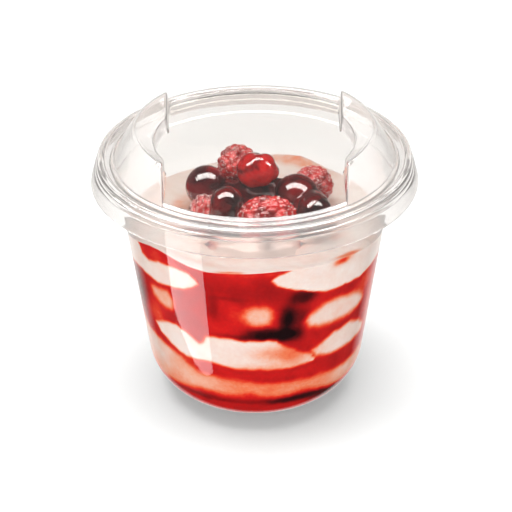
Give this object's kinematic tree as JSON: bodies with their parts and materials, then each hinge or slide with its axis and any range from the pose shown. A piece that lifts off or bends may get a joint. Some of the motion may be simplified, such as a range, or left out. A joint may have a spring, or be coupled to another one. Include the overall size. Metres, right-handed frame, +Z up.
{
  "type": "plastic dessert cup",
  "caption": "Clear plastic dessert cup with a stacking lid, filled with layers of cream and red fruit sauce under a heap of berries.",
  "frame": {"origin": "centre of the flat base, on the surface that the cup stands on", "axes": "+Z up along the cup's axis; -Y towards the side seen in the picture; the lid's channel for stacking runs along Y, with a raised crescent on each side in X"},
  "size_m": [0.1168, 0.1168, 0.1053],
  "materials": {
    "clear_cup": "clear, glossy, thin formed plastic",
    "clear_lid": "clear, glossy, thin formed plastic",
    "cream": "smooth soft cream, slightly translucent",
    "fruit_sauce": "wet bright red fruit sauce",
    "dark_sauce": "wet dark red fruit sauce",
    "raspberry": "bumpy red fruit with a pale frosting",
    "cherry": "smooth, very glossy dark fruit"
  },
  "bodies": {
    "root": {"cup": "clear_cup", "lid": "clear_lid", "sauce_bottom": "fruit_sauce", "cream_lower": "cream", "sauce_lower": "fruit_sauce", "cream_middle": "cream", "sauce_upper": "fruit_sauce", "cream_top": "cream", "sauce_mound": "dark_sauce", "raspberry_back": "raspberry", "raspberry_top": "raspberry", "raspberry_left": "raspberry", "raspberry_right": "raspberry", "raspberry_front": "raspberry", "cherry_left": "cherry", "cherry_front": "cherry", "cherry_right": "cherry", "cherry_side": "cherry", "currant_front": "cherry"}
  },
  "joints": []
}
